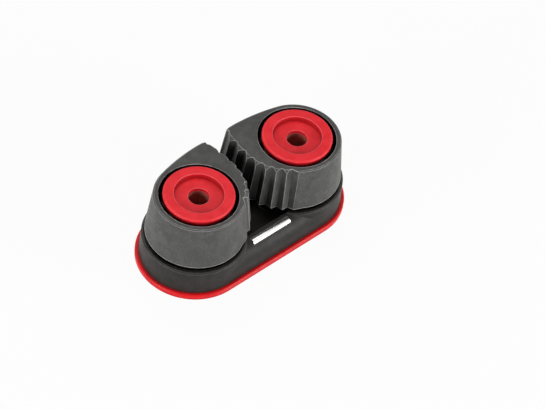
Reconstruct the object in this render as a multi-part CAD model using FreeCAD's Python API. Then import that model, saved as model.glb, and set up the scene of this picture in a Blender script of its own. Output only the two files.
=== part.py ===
import FreeCAD, Part
import math
import os
from FreeCAD import Vector

# A small cam cleat for a sheet or control line. Two toothed spiral cams turn on
# balls about hubs that rise from one moulded housing, each is pushed shut by a coil
# spring, and a disc on top of the hub keeps the cam down.
# Millimetres. X runs through both screw holes, -Y is the side the line comes in
# from, Z is up. The origin is the middle of the underside. "side" pieces are drawn
# for the left-hand cam about its own axis, with +X towards the line.

# Fastening
hole_spacing = 27.0
screw_hole_radius = 2.25

# Base plate under the housing
plate_thickness = 1.2
plate_ledge = 0.8
plate_edge_bevel = 0.25

# Housing: rounded foot, a rim round each cam, a channel for the line between them
foot_radius = 11.4
wall_draft = 2.0
rim_height = 6.0
rim_wall = 0.95
rim_bevel = 0.3
pocket_depth = 3.0
channel_depth = 2.0
channel_width = 14.8
saddle_round = 4.3

# Steel wear pin let into the front of the saddle
pin_radius = 0.8
pin_length = 10.2
pin_sink = 0.5
pin_lean = 27.0
pin_play = 0.025
pin_end_play = 0.1

# Hub and balls
hub_radius = 5.2
hub_height = 13.0
spigot_radius = 3.8
spigot_height = 0.7
spigot_gap = 0.05
ball_radius = 1.5
ball_gap = 0.1
ball_count = 13

# Retaining disc
disc_radius = 7.5
disc_edge = 1.5
disc_edge_bevel = 0.25
dish_radius = 5.25
dish_depth = 1.0
disc_drop = 1.1

# Cams
cam_lift = 1.3
cam_height = 10.7
cam_radius = 10.6
cam_draft = 6.0
cam_inner_radius = 7.2
cam_edge_bevel = 0.25
back_arc_radius = 45.0
back_arc_start = 105.6
nose_round = 3.2
bevel_start = 8.3
bevel_angle = 3.0
spiral_growth = 0.197
nose_arc_radius = 38.0
mid_gap = 0.3
groove_count = 8
groove_pitch = 11.9
front_groove_angle = -44.2
groove_lean = 7.4
groove_depth = 0.8
groove_root = 0.12
ridge_land = 0.12
ridge_shoulder = 0.6
shoulder_reach = 0.64
skirt_wall = 1.2
skirt_floor_gap = 0.6

# Travel stop: a rib in the pocket runs in a notch of the cam's skirt
opening_angle = 60.0
rib_width = 1.6
rib_height = 2.2
rib_gap = 0.2
stop_play = 0.5

# Coil spring of square wire with one leg in the hub and one in the cam
wire_size = 0.5
coil_radius = 6.2
coil_turns = 1.5
coil_pitch = 1.2
coil_start = 4.5
hub_leg_depth = 0.9
cam_leg_depth = 1.1
leg_gap = 0.05

# Heights and radii that follow from the values above
half_spacing = hole_spacing / 2
rim_top = plate_thickness + rim_height
rim_radius = foot_radius - rim_height * math.tan(math.radians(wall_draft))
pocket_radius = rim_radius - rim_wall
pocket_floor = rim_top - pocket_depth
channel_floor = rim_top - channel_depth
ball_path = hub_radius + ball_gap + ball_radius
cam_bore_radius = ball_path + ball_radius + ball_gap
race_half = ball_radius + ball_gap
lower_ball_z = pocket_floor + race_half
hub_shoulder = pocket_floor + hub_height
disc_underside = hub_shoulder + disc_drop
disc_top = disc_underside + disc_edge
upper_ball_z = disc_underside - race_half
pinch_angle = math.degrees(math.atan(spiral_growth))
face_reach = half_spacing - mid_gap / 2
cam_bottom = rim_top + cam_lift
cam_top = cam_bottom + cam_height
skirt_bottom = pocket_floor + skirt_floor_gap
skirt_radius = cam_bore_radius + skirt_wall
spring_low = lower_ball_z + coil_start
spring_high = spring_low + coil_turns * coil_pitch


def polar(radius, degrees, z=0.0):
    """Point at a radius and an angle about the Z axis."""
    angle = math.radians(degrees)
    return Vector(radius * math.cos(angle), radius * math.sin(angle), z)


def turned(section):
    """Solid of revolution about Z from (radius, height) corners."""
    corners = [Vector(radius, 0, z) for radius, z in section]
    face = Part.Face(Part.makePolygon(corners + corners[:1]))
    return face.revolve(Vector(0, 0, 0), Vector(0, 0, 1), 360)


def edges_at(shape, z):
    """Edges that lie wholly at one height."""
    boxes = [(edge, edge.BoundBox) for edge in shape.Edges]
    return [e for e, box in boxes if abs(box.ZMin - z) < 1e-4 and abs(box.ZMax - z) < 1e-4]


def pair(side_shape):
    """The left-hand piece in its place and its mirror image on the right."""
    left = side_shape.translated(Vector(-half_spacing, 0, 0))
    return left, left.mirror(Vector(0, 0, 0), Vector(1, 0, 0))


def slot_outline(radius, z):
    """Outline with round ends about both screw holes."""
    left = Vector(-half_spacing, 0, z)
    right = Vector(half_spacing, 0, z)
    up = Vector(0, radius, 0)
    out = Vector(radius, 0, 0)
    return Part.Wire([
        Part.makeLine(left - up, right - up),
        Part.Arc(right - up, right + out, right + up).toShape(),
        Part.makeLine(right + up, left + up),
        Part.Arc(left + up, left - out, left - up).toShape(),
    ])


def screw_holes():
    """The two drillings that run through plate, housing and discs."""
    drill = Part.makeCylinder(screw_hole_radius, 2 * disc_top, Vector(0, 0, -disc_top / 2))
    left, right = pair(drill)
    return left.fuse(right)


def base_plate():
    outline = Part.Face(slot_outline(foot_radius + plate_ledge, 0))
    plate = outline.extrude(Vector(0, 0, plate_thickness))
    plate = plate.makeChamfer(plate_edge_bevel, edges_at(plate, plate_thickness))
    return plate.cut(screw_holes())


def saddle_arc_centre():
    """Centre of the front rounding of the saddle, as (y, z)."""
    z = rim_top - saddle_round
    wall = foot_radius - (z - plate_thickness) * math.tan(math.radians(wall_draft))
    return saddle_round - wall, z


def pin_axis():
    """Where the wear pin's axis crosses X = 0."""
    y, z = saddle_arc_centre()
    lean = math.radians(pin_lean)
    reach = saddle_round - pin_sink
    return Vector(0, y - reach * math.sin(lean), z + reach * math.cos(lean))


def saddle_corner():
    """What is taken off the housing's long front edge to round the saddle,
    leaving the rims of both pockets standing."""
    y, z = saddle_arc_centre()
    above = rim_top + 1
    outside = -(foot_radius + 1)
    start = Vector(-half_spacing, y - saddle_round, z)
    crown = Vector(-half_spacing, y, rim_top)
    half = saddle_round * math.sqrt(0.5)
    middle = Vector(-half_spacing, y - half, z + half)
    corners = [
        crown,
        Vector(-half_spacing, y, above),
        Vector(-half_spacing, outside, above),
        Vector(-half_spacing, outside, z),
        start,
    ]
    outline = Part.Wire(
        [Part.Arc(start, middle, crown).toShape()] + Part.makePolygon(corners).Edges
    )
    corner = Part.Face(outline).extrude(Vector(hole_spacing, 0, 0))
    rim = Part.makeCone(foot_radius, rim_radius, rim_height, Vector(0, 0, plate_thickness))
    rim = rim.makeChamfer(rim_bevel, edges_at(rim, rim_top))
    left_rim, right_rim = pair(rim)
    return corner.cut(left_rim).cut(right_rim)


def hub():
    """Hub that the cam turns about, with a spigot on top for the disc."""
    return turned([
        (0, plate_thickness),
        (hub_radius, plate_thickness),
        (hub_radius, hub_shoulder),
        (spigot_radius, hub_shoulder),
        (spigot_radius, hub_shoulder + spigot_height),
        (0, hub_shoulder + spigot_height),
    ])


def spring_slot():
    """Slot down the hub that the spring's inner leg slides into."""
    width = wire_size + 2 * leg_gap
    bottom = spring_low - width / 2
    depth = hub_leg_depth + leg_gap
    return Part.makeBox(
        2 * depth, width, disc_top - bottom,
        Vector(-hub_radius - depth, -width / 2, bottom),
    )


def stop_rib():
    """Rib at the outer end of the pocket that stops the cam both ways."""
    outer = pocket_radius + rim_wall / 2
    length = outer - cam_bore_radius - rib_gap
    height = pocket_floor + rib_height - plate_thickness
    start = Vector(-outer, -rib_width / 2, plate_thickness)
    return Part.makeBox(length, rib_width, height, start)


def pin_rod(play, end_play):
    """The wear pin, or the groove for it with some play."""
    length = pin_length + 2 * end_play
    start = pin_axis() - Vector(length / 2, 0, 0)
    return Part.makeCylinder(pin_radius + play, length, start, Vector(1, 0, 0))


def base_housing():
    foot = slot_outline(foot_radius, plate_thickness)
    top = slot_outline(rim_radius, rim_top)
    body = Part.makeLoft([foot, top], True, True)
    body = body.makeChamfer(rim_bevel, edges_at(body, rim_top))
    front = saddle_corner()
    back = front.mirror(Vector(0, 0, 0), Vector(0, 1, 0))
    body = body.cut(front).cut(back)
    pocket = Part.makeCylinder(pocket_radius, rim_height, Vector(0, 0, pocket_floor))
    for piece in pair(pocket):
        body = body.cut(piece)
    channel = Part.makeBox(
        hole_spacing, channel_width, rim_height,
        Vector(-half_spacing, -channel_width / 2, channel_floor),
    )
    body = body.cut(channel).cut(pin_rod(pin_play, pin_end_play))
    for piece in pair(hub().cut(spring_slot()).fuse(stop_rib())):
        body = body.fuse(piece)
    return body.cut(screw_holes()).removeSplitter()


def retaining_disc():
    """Dished disc that sits on the hub and covers the upper balls."""
    ceiling = hub_shoulder + spigot_height
    socket = spigot_radius + spigot_gap
    return turned([
        (screw_hole_radius, ceiling),
        (socket, ceiling),
        (socket, hub_shoulder),
        (hub_radius, hub_shoulder),
        (hub_radius, disc_underside),
        (disc_radius, disc_underside),
        (disc_radius, disc_top - disc_edge_bevel),
        (disc_radius - disc_edge_bevel, disc_top),
        (dish_radius, disc_top),
        (dish_radius, disc_top - dish_depth),
        (screw_hole_radius, disc_top - dish_depth),
    ])


def spiral_radius(degrees):
    """Radius of the log spiral that the toothed face follows up to the pinch,
    where it comes nearest to mid-plane."""
    pinch = math.radians(pinch_angle)
    turn = math.radians(degrees) - pinch
    return face_reach / math.cos(pinch) * math.exp(spiral_growth * turn)


def flank_centre(z=0.0):
    """Centre of the flat arc that leads from the pinch to the nose."""
    rise = face_reach * math.tan(math.radians(pinch_angle))
    return Vector(face_reach - nose_arc_radius, rise, z)


def face_radius(degrees):
    """Radius of the toothed face at an angle from the line of the holes."""
    if degrees <= pinch_angle:
        return spiral_radius(degrees)
    centre = flank_centre()
    along = centre.dot(polar(1, degrees))
    return along + math.sqrt(along ** 2 + nose_arc_radius ** 2 - centre.dot(centre))


def face_normal(degrees):
    """Direction square to the toothed face, seen from above."""
    if degrees <= pinch_angle:
        return polar(1, degrees - pinch_angle)
    return (polar(face_radius(degrees), degrees) - flank_centre()).normalize()


def on_circle(centre, radius, towards):
    """Point of a circle that lies towards another point."""
    ray = towards - centre
    return centre + ray * (radius / ray.Length)


def rear_crossing(first, first_radius, second, second_radius):
    """Where two circles cross, of both places the one further back."""
    between = second - first
    gap = between.Length
    along = (first_radius ** 2 - second_radius ** 2 + gap ** 2) / (2 * gap)
    across = math.sqrt(first_radius ** 2 - along ** 2) / gap
    foot = first + between * (along / gap)
    side = Vector(-between.y, between.x, 0) * across
    return max(foot + side, foot - side, key=lambda point: point.y)


def cam_outline(inset, z):
    """Plan of a cam, drawn in evenly by the draft: round heel, spiral face, flat arc
    to a rounded nose, and a gently bowed back."""
    pinch = math.radians(pinch_angle)
    shrink = math.log(cam_radius * math.cos(pinch) / face_reach) / spiral_growth
    front = pinch_angle + math.degrees(shrink)
    flank = flank_centre(z)
    back = polar(cam_radius - back_arc_radius, back_arc_start, z)
    nose = rear_crossing(
        flank, nose_arc_radius - nose_round, back, back_arc_radius - nose_round
    )

    def face_point(degrees):
        return polar(spiral_radius(degrees), degrees, z) - polar(inset, degrees - pinch_angle)

    def arc(centre, radius, start, end):
        first = on_circle(centre, radius - inset, start)
        last = on_circle(centre, radius - inset, end)
        middle = on_circle(centre, radius - inset, (first + last) / 2)
        return Part.Arc(first, middle, last).toShape()

    steps = 8
    heel_radius = cam_radius - inset
    points = [polar(heel_radius, front, z)]
    for step in range(1, steps + 1):
        points.append(face_point(front + (pinch_angle - front) * step / steps))
    face = Part.BSplineCurve()
    face.interpolate(points)
    flank_end = nose + (nose - flank)
    back_start = nose + (nose - back)
    back_end = polar(heel_radius, back_arc_start, z)
    heel = polar(heel_radius, (back_arc_start + 360 + front) / 2, z)
    return Part.Wire([
        face.toShape(),
        arc(flank, nose_arc_radius, points[-1], flank_end),
        arc(nose, nose_round, flank_end, back_start),
        arc(back, back_arc_radius, back_start, back_end),
        Part.Arc(back_end, heel, points[0]).toShape(),
    ])


def cam_bevel():
    """What slopes the cam's top down to the toothed face."""
    run = 2 * half_spacing
    drop = run * math.tan(math.radians(bevel_angle))
    corners = [
        Vector(bevel_start, -run, cam_top),
        Vector(bevel_start + run, -run, cam_top),
        Vector(bevel_start + run, -run, cam_top - drop),
    ]
    face = Part.Face(Part.makePolygon(corners + corners[:1]))
    return face.extrude(Vector(0, 2 * run, 0))


def top_rim_edges(shape):
    """Edges between the upward faces of the cam and its walls."""
    upward = [face for face in shape.Faces if face.normalAt(0, 0).z > 0.9]
    edges = [edge for face in upward for edge in face.Edges]
    return [a for a in edges if sum(a.isSame(b) for b in edges) == 1]


def cam_blank():
    taper = cam_height * math.tan(math.radians(cam_draft))
    outlines = [cam_outline(0, cam_bottom), cam_outline(taper, cam_top)]
    blank = Part.makeLoft(outlines, True, True).cut(cam_bevel())
    return blank.makeChamfer(cam_edge_bevel, top_rim_edges(blank))


def cam_hollow():
    """Bore for the disc, with a race for the balls at each end and a narrower
    middle for the spring."""
    below = skirt_bottom - 1
    above = cam_top + 1
    lower_ledge = lower_ball_z + race_half
    upper_ledge = upper_ball_z - race_half
    return turned([
        (0, below),
        (cam_bore_radius, below),
        (cam_bore_radius, lower_ledge),
        (cam_inner_radius, lower_ledge),
        (cam_inner_radius, upper_ledge),
        (cam_bore_radius, upper_ledge),
        (cam_bore_radius, above),
        (0, above),
    ])


def stop_notch():
    """Notch in the skirt that lets the cam turn from shut to wide open."""
    half = math.degrees(math.asin(rib_width / 2 / cam_bore_radius)) + stop_play
    inner = cam_bore_radius - 1
    outer = skirt_radius + 1
    top = pocket_floor + rib_height + rib_gap
    low = skirt_bottom - 1
    start = 180 - opening_angle - half
    corners = [polar(inner, start, low), polar(outer, start, low),
               polar(outer, start, top), polar(inner, start, top)]
    face = Part.Face(Part.makePolygon(corners + corners[:1]))
    return face.revolve(Vector(0, 0, 0), Vector(0, 0, 1), opening_angle + 2 * half)


def groove(degrees):
    """V groove that leans back more than the wall, so that it deepens upwards."""
    outward = face_normal(degrees)
    root = polar(face_radius(degrees), degrees) - outward * groove_depth
    corners = []
    for sign in (-1, 1):
        side = degrees + sign * groove_pitch / 2
        crest = polar(face_radius(side), side) - polar(ridge_land / 2, degrees + 90) * sign
        inner = root + polar(groove_root / 2, degrees + 90) * sign
        corners.append((inner, inner + (crest - inner) * 2))
    (a, a_out), (b, b_out) = corners
    face = Part.Face(Part.makePolygon([a, a_out, b_out, b, a]))
    lean = Vector(0, 0, 1) - outward * math.tan(math.radians(groove_lean))
    face.translate(Vector(0, 0, cam_bottom) - lean)
    return face.extrude(lean * (cam_height + 2))


def on_top(degrees, depth, drop):
    """Point a depth behind the ridges and a drop below the cam's top."""
    behind = depth + cam_height * math.tan(math.radians(groove_lean))
    point = polar(face_radius(degrees), degrees) - face_normal(degrees) * behind
    slope = max(0, point.x - bevel_start) * math.tan(math.radians(bevel_angle))
    return point + Vector(0, 0, cam_top - slope - drop)


def shoulder(degrees, front_depth, rear_depth):
    """What slopes one ridge down from the grooves beside it, which leaves a pointed
    arch at the top of each groove."""
    front = on_top(degrees - groove_pitch / 2, front_depth, 0)
    rear = on_top(degrees + groove_pitch / 2, rear_depth, 0)
    down = on_top(degrees, 0, ridge_shoulder) - (front + rear) / 2
    corners = [front - down, rear - down, rear + down * 2, front + down * 2]
    face = Part.Face(Part.makePolygon(corners + corners[:1]))
    return face.extrude(Vector(0, 0, cam_height))


def cam():
    skirt = Part.makeCylinder(
        skirt_radius, cam_bottom - skirt_bottom + 1, Vector(0, 0, skirt_bottom)
    )
    body = cam_blank().fuse(skirt)
    angles = [front_groove_angle + index * groove_pitch for index in range(groove_count)]
    depth = shoulder_reach * groove_depth
    body = body.cut(shoulder(angles[0] - groove_pitch / 2, -groove_depth, depth))
    for angle in angles:
        body = body.cut(groove(angle))
        body = body.cut(shoulder(angle + groove_pitch / 2, depth, depth))
    width = wire_size + 2 * leg_gap
    depth = cam_leg_depth + leg_gap
    leg_hole = Part.makeBox(
        2 * depth, width, width,
        Vector(cam_inner_radius - depth, -width / 2, spring_high - width / 2),
    )
    return body.cut(cam_hollow()).cut(stop_notch()).cut(leg_hole)


def ball():
    """One ball about the origin, with few flat faces because there are so many."""
    sides = 6
    rings = []
    for latitude in (-52, 0, 52):
        angle = math.radians(latitude)
        radius = ball_radius * math.cos(angle)
        z = ball_radius * math.sin(angle)
        rings.append([polar(radius, 360 / sides * turn, z) for turn in range(sides)])
    faces = [rings[0], rings[-1]]
    for low, high in zip(rings, rings[1:]):
        for turn in range(sides):
            faces.append([low[turn], low[turn - 1], high[turn - 1], high[turn]])
    shell = Part.makeShell([Part.Face(Part.makePolygon(f + f[:1])) for f in faces])
    return Part.makeSolid(shell)


def ball_row(z):
    """Ring of loose balls that fills a race."""
    balls = []
    for index in range(ball_count):
        turn = 360 * (index + 0.5) / ball_count
        one = ball()
        one.translate(Vector(ball_path, 0, z))
        one.rotate(Vector(0, 0, 0), Vector(0, 0, 1), turn)
        balls.append(one)
    return Part.makeCompound(balls)


def wire_section(centre, across):
    """Square cross-section of the spring's wire."""
    side = across * (wire_size / 2)
    up = Vector(0, 0, wire_size / 2)
    corners = [centre + side + up, centre - side + up, centre - side - up, centre + side - up]
    return Part.makePolygon(corners + corners[:1])


def coil_spring():
    """Coil about the hub, with a leg into the hub below and into the cam above."""
    out = Vector(1, 0, 0)
    across = Vector(0, 1, 0)
    helix = Part.makeHelix(coil_pitch, coil_turns * coil_pitch, coil_radius)
    coil = helix.makePipeShell([wire_section(out * coil_radius, out)], True, True)
    coil.rotate(Vector(0, 0, 0), Vector(0, 0, 1), 180)
    coil.translate(Vector(0, 0, spring_low))
    hub_leg = Part.Face(wire_section(Vector(-coil_radius, 0, spring_low), across))
    cam_leg = Part.Face(wire_section(Vector(coil_radius, 0, spring_high), across))
    coil = coil.fuse(hub_leg.extrude(out * (coil_radius - hub_radius + hub_leg_depth)))
    return coil.fuse(cam_leg.extrude(out * (cam_inner_radius + cam_leg_depth - coil_radius)))


def side_pieces():
    """The pieces that each cam has of its own, by name."""
    return {
        "cam": cam(),
        "retaining_disc": retaining_disc(),
        "upper_balls": ball_row(upper_ball_z),
        "lower_balls": ball_row(lower_ball_z),
        "spring": coil_spring(),
    }


def build():
    pieces = {
        "base_plate": base_plate(),
        "base_housing": base_housing(),
        "wear_pin": pin_rod(0, 0),
    }
    for name, shape in side_pieces().items():
        left, right = pair(shape)
        pieces[name + "_left"] = left
        pieces[name + "_right"] = right
    return pieces


os.makedirs("parts", exist_ok=True)
for node, shape in build().items():
    shape.exportStep("parts/" + node + ".step")
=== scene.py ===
import math

import bmesh
import bpy
from mathutils import Matrix, Vector


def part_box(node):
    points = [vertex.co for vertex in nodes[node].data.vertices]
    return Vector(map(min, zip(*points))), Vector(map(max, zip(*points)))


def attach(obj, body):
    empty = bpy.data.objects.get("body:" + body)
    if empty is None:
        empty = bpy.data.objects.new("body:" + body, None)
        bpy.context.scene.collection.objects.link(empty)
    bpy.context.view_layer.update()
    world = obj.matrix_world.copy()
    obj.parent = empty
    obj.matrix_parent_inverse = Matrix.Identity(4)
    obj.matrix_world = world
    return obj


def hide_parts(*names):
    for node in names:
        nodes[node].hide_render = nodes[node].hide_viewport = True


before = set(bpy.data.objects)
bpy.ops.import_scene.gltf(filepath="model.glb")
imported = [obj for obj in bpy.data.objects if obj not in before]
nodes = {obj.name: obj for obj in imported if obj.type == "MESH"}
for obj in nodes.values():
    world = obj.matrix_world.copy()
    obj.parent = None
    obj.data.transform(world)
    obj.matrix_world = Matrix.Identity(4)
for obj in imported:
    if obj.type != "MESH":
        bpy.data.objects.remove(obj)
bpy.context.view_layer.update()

# Screw holes and ball rows, in metres
hole_spacing = 0.027
ball_path = 0.0068
ball_radius = 0.0015
ball_count = 13
ball_fineness = 3

# Distances from a screw's axis between which the colour of the hole's wall fades out
hole_wall_fade = (0.0023, 0.0025)

# Marks on the mouldings: their sizes in metres, then how strongly they show
moulding_edge = 0.0003
moulding_cloud = 0.0022
moulding_grain = 0.00016
# The paler colour along edges is partly wear and partly painted highlight
wear_highlight_reach = 0.0009
wear_highlight_patch = 0.0009
least_wear_highlight = 0.45
# How fully the corners of the mouldings take their painted shade
shade_cover = 0.97

# Marks on the steel, in metres
steel_edge = 0.00012
steel_scratch = 0.00008
steel_scratch_depth = 0.000002
steel_smear = 0.0012

# Marks on the balls, in metres
ball_edge = 0.0001
ball_cloud = 0.0006
ball_grain = 0.0001
ball_grain_depth = 0.000004

# How far an eased edge leans from its face, as 1 less the cosine, to begin to count
# as an edge and to count fully
edge_lean = (0.005, 0.12)

# Rays that each eased edge and each shaded corner is worked out from
soft_rays = 8

# Where the photograph was taken from, in metres, and which way the camera was turned
camera_place = Vector((-0.239712, -0.225972, 0.393341))
camera_right = Vector((0.7554, -0.6492, 0.0893))
camera_up = Vector((0.4535, 0.6162, 0.6440))
camera_back = Vector((-0.4731, -0.4459, 0.7598))

# The camera's lens, in widths of the picture
lens_reach = 4.405
lens_shift = (0.05222, -0.00921)

# The camera's sensor in millimetres, and the nearest that it sees in metres
sensor_width = 36
nearest_seen = 0.01

# The floor in metres, and how much of it is plain white where it is seen
floor_half = 3.0
floor_cloud = 0.05
floor_white = 0.93

# How bright the room is to matt surfaces, and the point that the lamps face
room_light = 0.17
lamp_aim = Vector((0, 0, 0.01))


def shade(red, green, blue):
    """A colour as a screen shows it, 0 to 255, turned into the light it stands for
    by the usual formula of screens."""
    def light(step):
        share = step / 255
        return share / 12.92 if share <= 0.04045 else ((share + 0.055) / 1.055) ** 2.4
    return (light(red), light(green), light(blue), 1.0)


class Tone:
    """A number, colour or direction that varies over a surface."""

    def __init__(self, finish, socket):
        self.finish = finish
        self.socket = socket

    def _worked(self, operation, first, second):
        return self.finish.node(
            "ShaderNodeMath", {"operation": operation}, {0: first, 1: second}
        )

    def __add__(self, other):
        return self._worked("ADD", self, other)

    def __sub__(self, other):
        return self._worked("SUBTRACT", self, other)

    def __mul__(self, other):
        return self._worked("MULTIPLY", self, other)

    def __radd__(self, other):
        return self._worked("ADD", other, self)

    def __rsub__(self, other):
        return self._worked("SUBTRACT", other, self)

    def __rmul__(self, other):
        return self._worked("MULTIPLY", other, self)


class Finish:
    """What one kind of surface, or the surroundings, look like."""

    def __init__(self, owner):
        owner.use_nodes = True
        self.owner = owner
        self.tree = owner.node_tree
        self.tree.nodes.clear()

    def node(self, kind, settings=None, sockets=None, output=0):
        """Adds a node, sets it, and sets or links its sockets."""
        made = self.tree.nodes.new(kind)
        for key, value in (settings or {}).items():
            setattr(made, key, value)
        for key, value in (sockets or {}).items():
            if isinstance(value, Tone):
                self.tree.links.new(value.socket, made.inputs[key])
            else:
                made.inputs[key].default_value = value
        return Tone(self, made.outputs[output]) if made.outputs else None

    def blend(self, share, first, second):
        """The first colour where the share is 0, and the second where it is 1."""
        return self.node(
            "ShaderNodeMix", {"data_type": "RGBA"}, {0: share, 6: first, 7: second}, 2
        )

    def rise(self, tone, low, high):
        """0 below one value of a tone, 1 above another, and smooth between."""
        return self.node(
            "ShaderNodeMapRange", {"interpolation_type": "SMOOTHSTEP"},
            {"Value": tone, "From Min": low, "From Max": high},
        )

    def vector(self, operation, first, second=(0, 0, 0), output="Vector"):
        """Vector maths on places and directions."""
        return self.node(
            "ShaderNodeVectorMath", {"operation": operation}, {0: first, 1: second}, output
        )

    def place(self):
        """Where on the piece a point of its surface is, in metres."""
        return self.node("ShaderNodeTexCoord", output="Object")

    def cloud(self, size, detail=2.0, stretch=(1, 1, 1)):
        """Soft blotches of one size in metres, drawn out along an axis by a stretch."""
        scale = tuple(1 / (size * share) for share in stretch)
        return self.node("ShaderNodeTexNoise", None, {
            "Vector": self.vector("MULTIPLY", self.place(), scale),
            "Scale": 1.0,
            "Detail": detail,
            "Roughness": 0.55,
        })

    def rounded(self, radius):
        """The direction of the surface, with its edges eased."""
        return self.node("ShaderNodeBevel", {"samples": soft_rays}, {"Radius": radius})

    def edge(self, eased):
        """1 on the edges that were eased, 0 on plain faces."""
        plain = self.node("ShaderNodeNewGeometry", output="Normal")
        return self.rise(1 - self.vector("DOT_PRODUCT", eased, plain, "Value"), *edge_lean)

    def openness(self, reach):
        """1 on open faces and outer edges, less in corners and slits."""
        return self.node(
            "ShaderNodeAmbientOcclusion", {"samples": soft_rays}, {"Distance": reach}, "AO"
        )

    def hole_wall(self):
        """1 on the walls of the two screw holes, 0 everywhere else."""
        flat = self.vector("MULTIPLY", self.vector("ABSOLUTE", self.place()), (1, 1, 0))
        away = self.vector("DISTANCE", flat, (hole_spacing / 2, 0, 0), "Value")
        return 1 - self.rise(away, *hole_wall_fade)

    def bump(self, height, depth, eased):
        """The direction of the surface with a fine relief, its depth in metres."""
        return self.node(
            "ShaderNodeBump", None,
            {"Strength": 1.0, "Distance": depth, "Height": height, "Normal": eased},
        )

    def finished(self, varied, fixed):
        """Closes the material: what varies is linked, what is the same all over is set."""
        shader = self.node("ShaderNodeBsdfPrincipled", None, {**varied, **fixed})
        self.node("ShaderNodeOutputMaterial", None, {"Surface": shader})
        return self.owner


def moulded_plastic(name, body, mottled, highlight_wear_fleck, painted_shade, corners, rough, shine, grain,
                    flecks=0.0, painted_hole_light=None):
    """Moulded plastic: slightly clouded and finely grained. Its outer edges are smoother
    and paler, partly rubbed wear and partly painted highlight, and its corners are
    rougher and painted darker as painted shade.

    The corners are the reach of the painted shade in metres, and how open a place is
    where it is darkest and where it ends. The grain is its depth in metres. The flecks are
    how strongly glass shows in filled plastic, and the hole colour, where given, is laid
    on the walls of the screw holes as painted light."""
    finish = Finish(bpy.data.materials.new(name))
    eased = finish.rounded(moulding_edge)
    clouds = finish.rise(finish.cloud(moulding_cloud, detail=3.0), low=0.35, high=0.65)
    fine = finish.cloud(moulding_grain)

    # Outer edges turn paler: partly rubbed wear, partly painted highlight where eased edges
    # catch the light
    outside = finish.rise(finish.openness(wear_highlight_reach), low=0.7, high=0.95)
    patchy = finish.rise(finish.cloud(wear_highlight_patch, detail=3.0), low=0.25, high=0.7)
    rubbed_and_highlit = finish.edge(eased) * outside
    wear_and_highlight = rubbed_and_highlit * (least_wear_highlight + (1 - least_wear_highlight) * patchy)

    # Corners and slits are painted darker: painted shade where little light reaches
    reach, darkest, clear = corners
    corner_shade = 1 - finish.rise(finish.openness(reach), darkest, clear)

    colour = finish.blend(clouds, shade(*body), shade(*mottled))
    if flecks:
        streaks = finish.cloud(moulding_grain, detail=1.0, stretch=(1, 1, 2))
        glass = flecks * finish.rise(streaks, low=0.6, high=0.72)
        colour = finish.blend(glass, colour, shade(*highlight_wear_fleck))
    colour = finish.blend(shade_cover * corner_shade, colour, shade(*painted_shade))
    colour = finish.blend(wear_and_highlight, colour, shade(*highlight_wear_fleck))
    # Walls of the screw holes painted a lighter reddish brown: painted light inside the
    # holes
    if painted_hole_light:
        colour = finish.blend(finish.hole_wall(), colour, shade(*painted_hole_light))

    return finish.finished({
        "Base Color": colour,
        "Roughness": rough + 0.08 * fine + 0.06 * clouds + 0.15 * corner_shade - 0.1 * wear_and_highlight,
        "Normal": finish.bump(fine, grain, eased),
    }, {"Specular IOR Level": shine})


def bright_steel(name, body, mottled, rough, lay):
    """Bright steel with fine scratches, drawn out along the wire or pin by the lay."""
    finish = Finish(bpy.data.materials.new(name))
    eased = finish.rounded(steel_edge)
    edge = finish.edge(eased)
    scratches = finish.cloud(steel_scratch, stretch=lay)
    smears = finish.rise(finish.cloud(steel_smear), low=0.4, high=0.7)
    return finish.finished({
        "Base Color": finish.blend(smears, shade(*body), shade(*mottled)),
        "Roughness": rough + 0.12 * scratches + 0.05 * smears + 0.1 * edge,
        "Normal": finish.bump(scratches, steel_scratch_depth, eased),
    }, {"Metallic": 1.0})


def ball_plastic(name, body, mottled, rough):
    """Smooth hard plastic of the balls, dulled a little in soft blotches."""
    finish = Finish(bpy.data.materials.new(name))
    clouds = finish.rise(finish.cloud(ball_cloud, detail=3.0), low=0.3, high=0.7)
    fine = finish.cloud(ball_grain)
    return finish.finished({
        "Base Color": finish.blend(clouds, shade(*body), shade(*mottled)),
        "Roughness": rough + 0.15 * clouds,
        "Normal": finish.bump(fine, ball_grain_depth, finish.rounded(ball_edge)),
    }, {"IOR": 1.48})


def paint(piece, material):
    """Gives a piece of the frame its finish."""
    piece.data.materials.clear()
    piece.data.materials.append(material)


def added(name, mesh, material):
    """A piece of the scene's own, made from a mesh that is then closed."""
    made = bpy.data.meshes.new(name)
    mesh.to_mesh(made)
    mesh.free()
    made.materials.append(material)
    piece = bpy.data.objects.new(name, made)
    bpy.context.scene.collection.objects.link(piece)
    return piece


def ball_row(node, body, material):
    """The loose balls of one race, round, in place of the plain ones."""
    low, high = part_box(node)
    middle = (low + high) / 2
    side = -1 if middle.x < 0 else 1
    mesh = bmesh.new()
    for index in range(ball_count):
        turn = 2 * math.pi * (index + 0.5) / ball_count
        place = Vector((
            side * (hole_spacing / 2 - ball_path * math.cos(turn)),
            ball_path * math.sin(turn),
            middle.z,
        ))
        bmesh.ops.create_icosphere(
            mesh, subdivisions=ball_fineness, radius=ball_radius,
            matrix=Matrix.Translation(place),
        )
    for face in mesh.faces:
        face.smooth = True
    piece = added(node + "_round", mesh, material)
    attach(piece, body)
    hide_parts(node)


def seen_directly(finish):
    """1 for rays from the camera, off gloss or through glass, 0 for those that light."""
    from_camera = finish.node("ShaderNodeLightPath", output="Is Camera Ray")
    off_gloss = finish.node("ShaderNodeLightPath", output="Is Glossy Ray")
    through = finish.node("ShaderNodeLightPath", output="Is Transmission Ray")
    return from_camera + off_gloss + through


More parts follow.
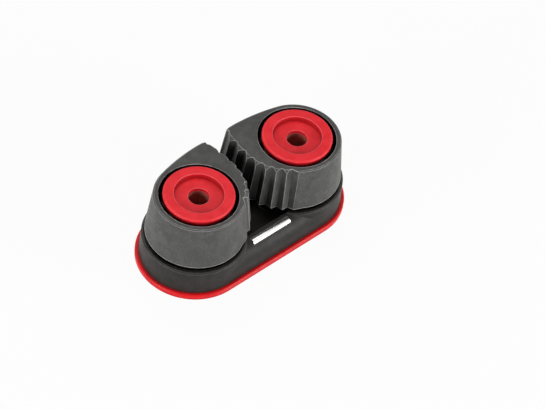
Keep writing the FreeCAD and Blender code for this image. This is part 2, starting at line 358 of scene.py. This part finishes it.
def floor_finish():
    """Pale floor that is seen as nearly white, with the object's shadow on it."""
    finish = Finish(bpy.data.materials.new("pale_floor"))
    clouds = finish.cloud(floor_cloud)
    colour = finish.blend(clouds, shade(244, 244, 244), shade(250, 250, 250))
    matt = finish.node("ShaderNodeBsdfDiffuse", None, {"Color": colour})
    white = finish.node("ShaderNodeEmission", None, {"Color": (1, 1, 1, 1), "Strength": 1.0})
    share = floor_white * seen_directly(finish)
    mixed = finish.node("ShaderNodeMixShader", None, {0: share, 1: matt, 2: white})
    finish.node("ShaderNodeOutputMaterial", None, {"Surface": mixed})
    return finish.owner


def floor():
    """A wide square that the cleat stands on."""
    mesh = bmesh.new()
    corners = [
        mesh.verts.new((x * floor_half, y * floor_half, 0))
        for x, y in ((-1, -1), (1, -1), (1, 1), (-1, 1))
    ]
    mesh.faces.new(corners)
    added("floor", mesh, floor_finish())


def surroundings():
    """White where it is seen, and a plain even light on the object."""
    world = bpy.data.worlds.new("studio")
    bpy.context.scene.world = world
    finish = Finish(world)
    level = room_light + (1 - room_light) * seen_directly(finish)
    light = finish.node("ShaderNodeBackground", None, {"Strength": level})
    finish.node("ShaderNodeOutputWorld", None, {"Surface": light})


def lamp(name, place, width, watts):
    """A soft square lamp that faces the object."""
    data = bpy.data.lights.new(name, "AREA")
    data.shape = "SQUARE"
    data.size = width
    data.energy = watts
    made = bpy.data.objects.new(name, data)
    made.location = place
    made.rotation_euler = (lamp_aim - Vector(place)).to_track_quat("-Z", "Y").to_euler()
    bpy.context.scene.collection.objects.link(made)


def camera():
    """The camera of the photograph."""
    data = bpy.data.cameras.new("camera")
    data.sensor_width = sensor_width
    data.lens = lens_reach * sensor_width
    data.shift_x, data.shift_y = lens_shift
    data.clip_start = nearest_seen
    made = bpy.data.objects.new("camera", data)
    turned = Matrix((camera_right, camera_up, camera_back)).transposed().to_4x4()
    made.matrix_world = Matrix.Translation(camera_place) @ turned
    bpy.context.scene.collection.objects.link(made)
    bpy.context.scene.camera = made


# Finishes
# Each moulding's darkest colour is painted shade in its corners, and its palest is partly
# edge wear and partly painted highlight
red_disc = moulded_plastic(
    "red_disc_plastic",
    body=(247, 38, 50), mottled=(236, 33, 44), highlight_wear_fleck=(250, 126, 132), painted_shade=(112, 3, 9),
    corners=(0.0035, 0.2, 0.93), rough=0.36, shine=0.2, grain=0.000006,
)
red_plate = moulded_plastic(
    "red_plate_plastic",
    body=(220, 24, 29), mottled=(206, 20, 26), highlight_wear_fleck=(236, 58, 62), painted_shade=(105, 8, 12),
    corners=(0.0012, 0.22, 0.72), rough=0.32, shine=0.18, grain=0.000006,
)
housing_grain = moulded_plastic(
    "housing_plastic_grained",
    body=(48, 46, 44), mottled=(42, 40, 38), highlight_wear_fleck=(124, 122, 118), painted_shade=(5, 5, 5),
    corners=(0.005, 0.25, 0.62), rough=0.4, shine=0.14, grain=0.000016,
    flecks=0.08, painted_hole_light=(176, 100, 89),
)
cam_grain = moulded_plastic(
    "cam_plastic_grained",
    body=(78, 78, 76), mottled=(69, 69, 67), highlight_wear_fleck=(214, 215, 214), painted_shade=(4, 4, 4),
    corners=(0.007, 0.38, 0.64), rough=0.4, shine=0.22, grain=0.00002, flecks=0.12,
)
pin_steel = bright_steel(
    "pin_steel_ground", body=(250, 250, 250), mottled=(238, 239, 240), rough=0.2,
    lay=(30, 1, 1),
)
spring_steel = bright_steel(
    "spring_steel_drawn", body=(190, 190, 192), mottled=(168, 168, 170), rough=0.2,
    lay=(6, 6, 1),
)
hard_balls = ball_plastic(
    "ball_plastic_smooth", body=(26, 26, 27), mottled=(33, 33, 34), rough=0.22
)

# Pieces
paint(nodes["base_plate"], red_plate)
paint(nodes["base_housing"], housing_grain)
paint(nodes["wear_pin"], pin_steel)
for side in ("left", "right"):
    paint(nodes["cam_" + side], cam_grain)
    paint(nodes["retaining_disc_" + side], red_disc)
    paint(nodes["spring_" + side], spring_steel)
    for level in ("upper", "lower"):
        row = level + "_balls_" + side
        ball_row(row, side + "_" + level + "_balls", hard_balls)

# Floor, light and camera
floor()
surroundings()
lamp("lamp_left", place=(-0.5, 0.03, 0.15), width=0.29, watts=2.2)
lamp("lamp_right", place=(0.26, -0.49, 0.155), width=0.3, watts=2.9)
lamp("lamp_above", place=(0.1, 0.25, 0.5), width=0.4, watts=1.0)
camera()
bpy.context.scene.view_settings.view_transform = "Standard"
